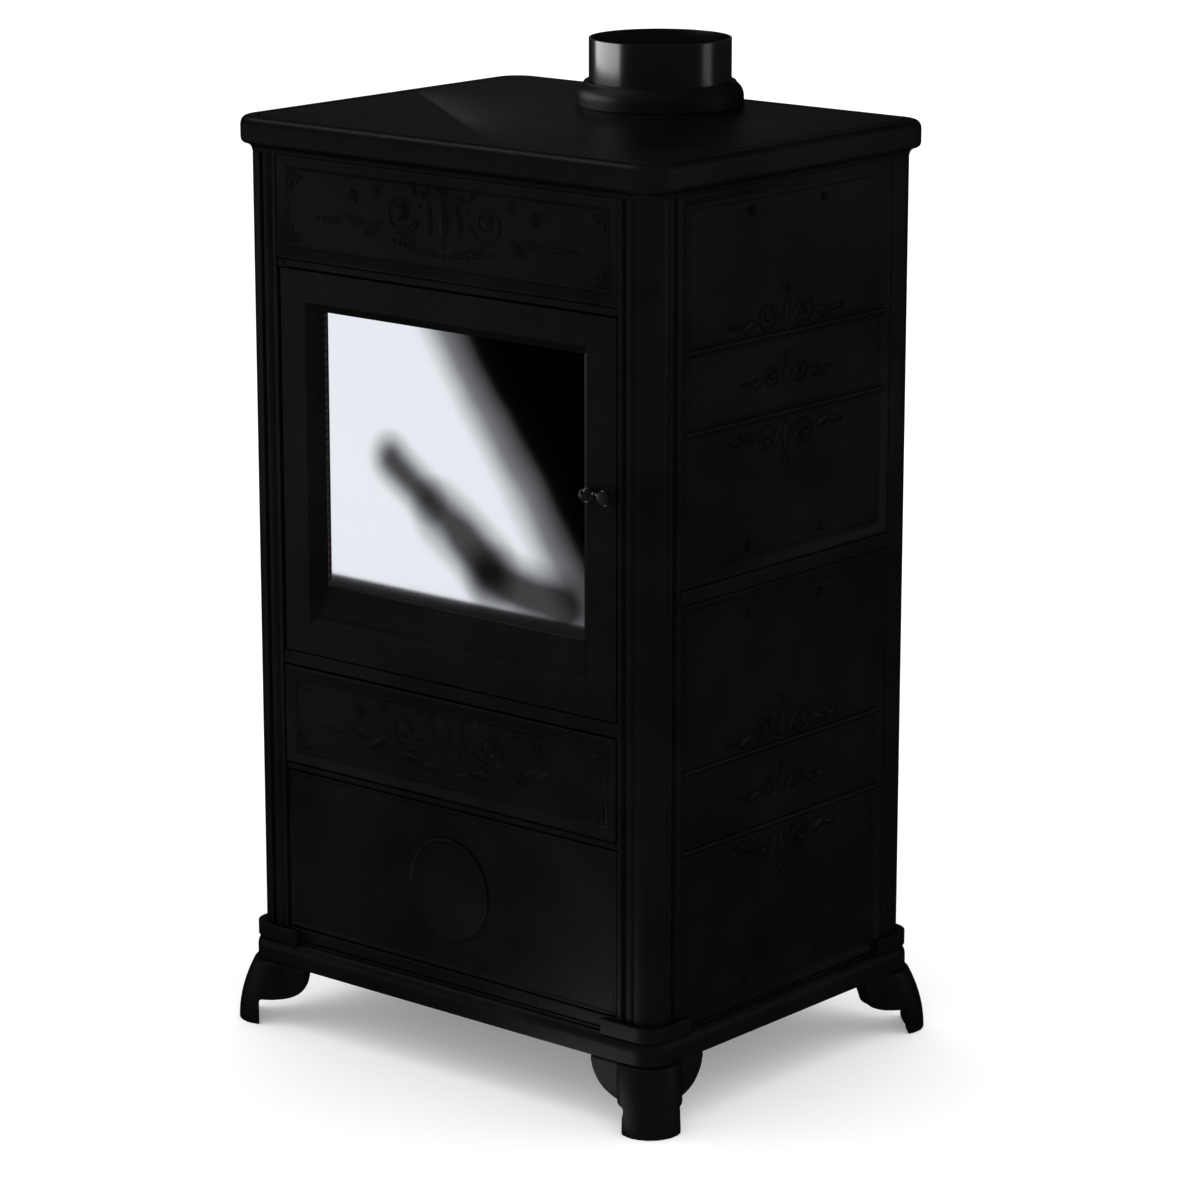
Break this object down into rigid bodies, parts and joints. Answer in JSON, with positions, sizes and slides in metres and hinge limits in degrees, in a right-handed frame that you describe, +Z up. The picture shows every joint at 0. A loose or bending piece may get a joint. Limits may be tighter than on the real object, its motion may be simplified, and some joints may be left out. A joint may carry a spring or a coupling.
{
  "type": "wood burning stove",
  "caption": "Free-standing cast-iron wood burning stove on cabriole feet: framed glass fire door, decorated ash drawer, storage drawer, reeded pillars and a top flue stub.",
  "frame": {"origin": "on the floor under the middle of the body", "axes": "+Z up, +Y towards the back, the fire door faces -Y"},
  "size_m": [0.5986, 0.4742, 1.05],
  "materials": {
    "cast_iron_black": "satin black stove enamel over fine cast grain",
    "inner_iron": "bare cast iron, sooted",
    "pipe_enamel": "gloss black vitreous enamel on steel",
    "painted_sheet": "matt black heat-proof paint on sheet steel",
    "plain_steel": "plain steel, slightly blued",
    "ceramic_glass": "clear ceramic glass, polished",
    "glass_rope": "braided glass-fibre rope, matt",
    "fire_brick": "pressed vermiculite board, matt"
  },
  "bodies": {
    "stove": {"ash_floor": "inner_iron", "back_plate": "cast_iron_black", "baffle_plate": "inner_iron", "base_plate": "cast_iron_black", "fire_brick_back_left": "fire_brick", "fire_brick_back_right": "fire_brick", "fire_brick_left_front": "fire_brick", "fire_brick_left_rear": "fire_brick", "fire_brick_right_front": "fire_brick", "fire_brick_right_rear": "fire_brick", "firebox_floor": "inner_iron", "flue_collar": "cast_iron_black", "flue_pipe": "pipe_enamel", "foot_front_left": "cast_iron_black", "foot_front_right": "cast_iron_black", "foot_rear_left": "cast_iron_black", "foot_rear_right": "cast_iron_black", "front_frame": "cast_iron_black", "front_pillar_left": "cast_iron_black", "front_pillar_right": "cast_iron_black", "grate": "inner_iron", "log_retainer": "inner_iron", "lower_side_plate_left": "cast_iron_black", "lower_side_plate_right": "cast_iron_black", "rear_heat_shield": "painted_sheet", "rear_post_left": "cast_iron_black", "rear_post_right": "cast_iron_black", "side_rail_left": "cast_iron_black", "side_rail_right": "cast_iron_black", "storage_runner_left": "plain_steel", "storage_runner_right": "plain_steel", "tie_rod_front_left": "plain_steel", "tie_rod_front_right": "plain_steel", "tie_rod_rear_left": "plain_steel", "tie_rod_rear_right": "plain_steel", "top_plate": "cast_iron_black", "upper_panel": "cast_iron_black", "upper_side_plate_left": "cast_iron_black", "upper_side_plate_right": "cast_iron_black"},
    "fire_door": {"fire_door": "cast_iron_black", "door_rope_seal": "glass_rope", "glass_gasket": "glass_rope", "door_glass": "ceramic_glass", "hinge_pin_upper": "plain_steel", "hinge_pin_lower": "plain_steel", "glass_clip_bottom_left": "plain_steel", "glass_clip_bottom_right": "plain_steel", "glass_clip_left": "plain_steel", "glass_clip_right": "plain_steel", "glass_clip_top_left": "plain_steel", "glass_clip_top_right": "plain_steel"},
    "door_latch": {"latch_lever": "pipe_enamel", "latch_tongue": "plain_steel"},
    "ash_drawer": {"ash_drawer_front": "cast_iron_black", "ash_pan": "painted_sheet"},
    "storage_drawer": {"storage_drawer_front": "cast_iron_black", "storage_drawer_box": "painted_sheet", "storage_drawer_base": "painted_sheet"},
    "air_control": {"air_slide": "painted_sheet"}
  },
  "joints": [
    {"name": "door_hinge", "type": "hinge", "parent": "stove", "child": "fire_door", "pos_m": [-0.223, -0.2075, 0.62], "axis": [0, 0, -1], "range_deg": [0, 108]},
    {"name": "latch_turn", "type": "hinge", "parent": "fire_door", "child": "door_latch", "pos_m": [0.2195, -0.2125, 0.648], "axis": [0, -1, 0], "range_deg": [-90, 0]},
    {"name": "ash_drawer_slide", "type": "slide", "parent": "stove", "child": "ash_drawer", "axis": [0, -1, 0], "range_m": [0, 0.3]},
    {"name": "storage_drawer_slide", "type": "slide", "parent": "stove", "child": "storage_drawer", "axis": [0, -1, 0], "range_m": [0, 0.32]},
    {"name": "air_slide_travel", "type": "slide", "parent": "stove", "child": "air_control", "axis": [1, 0, 0], "range_m": [0, 0.0175]}
  ]
}
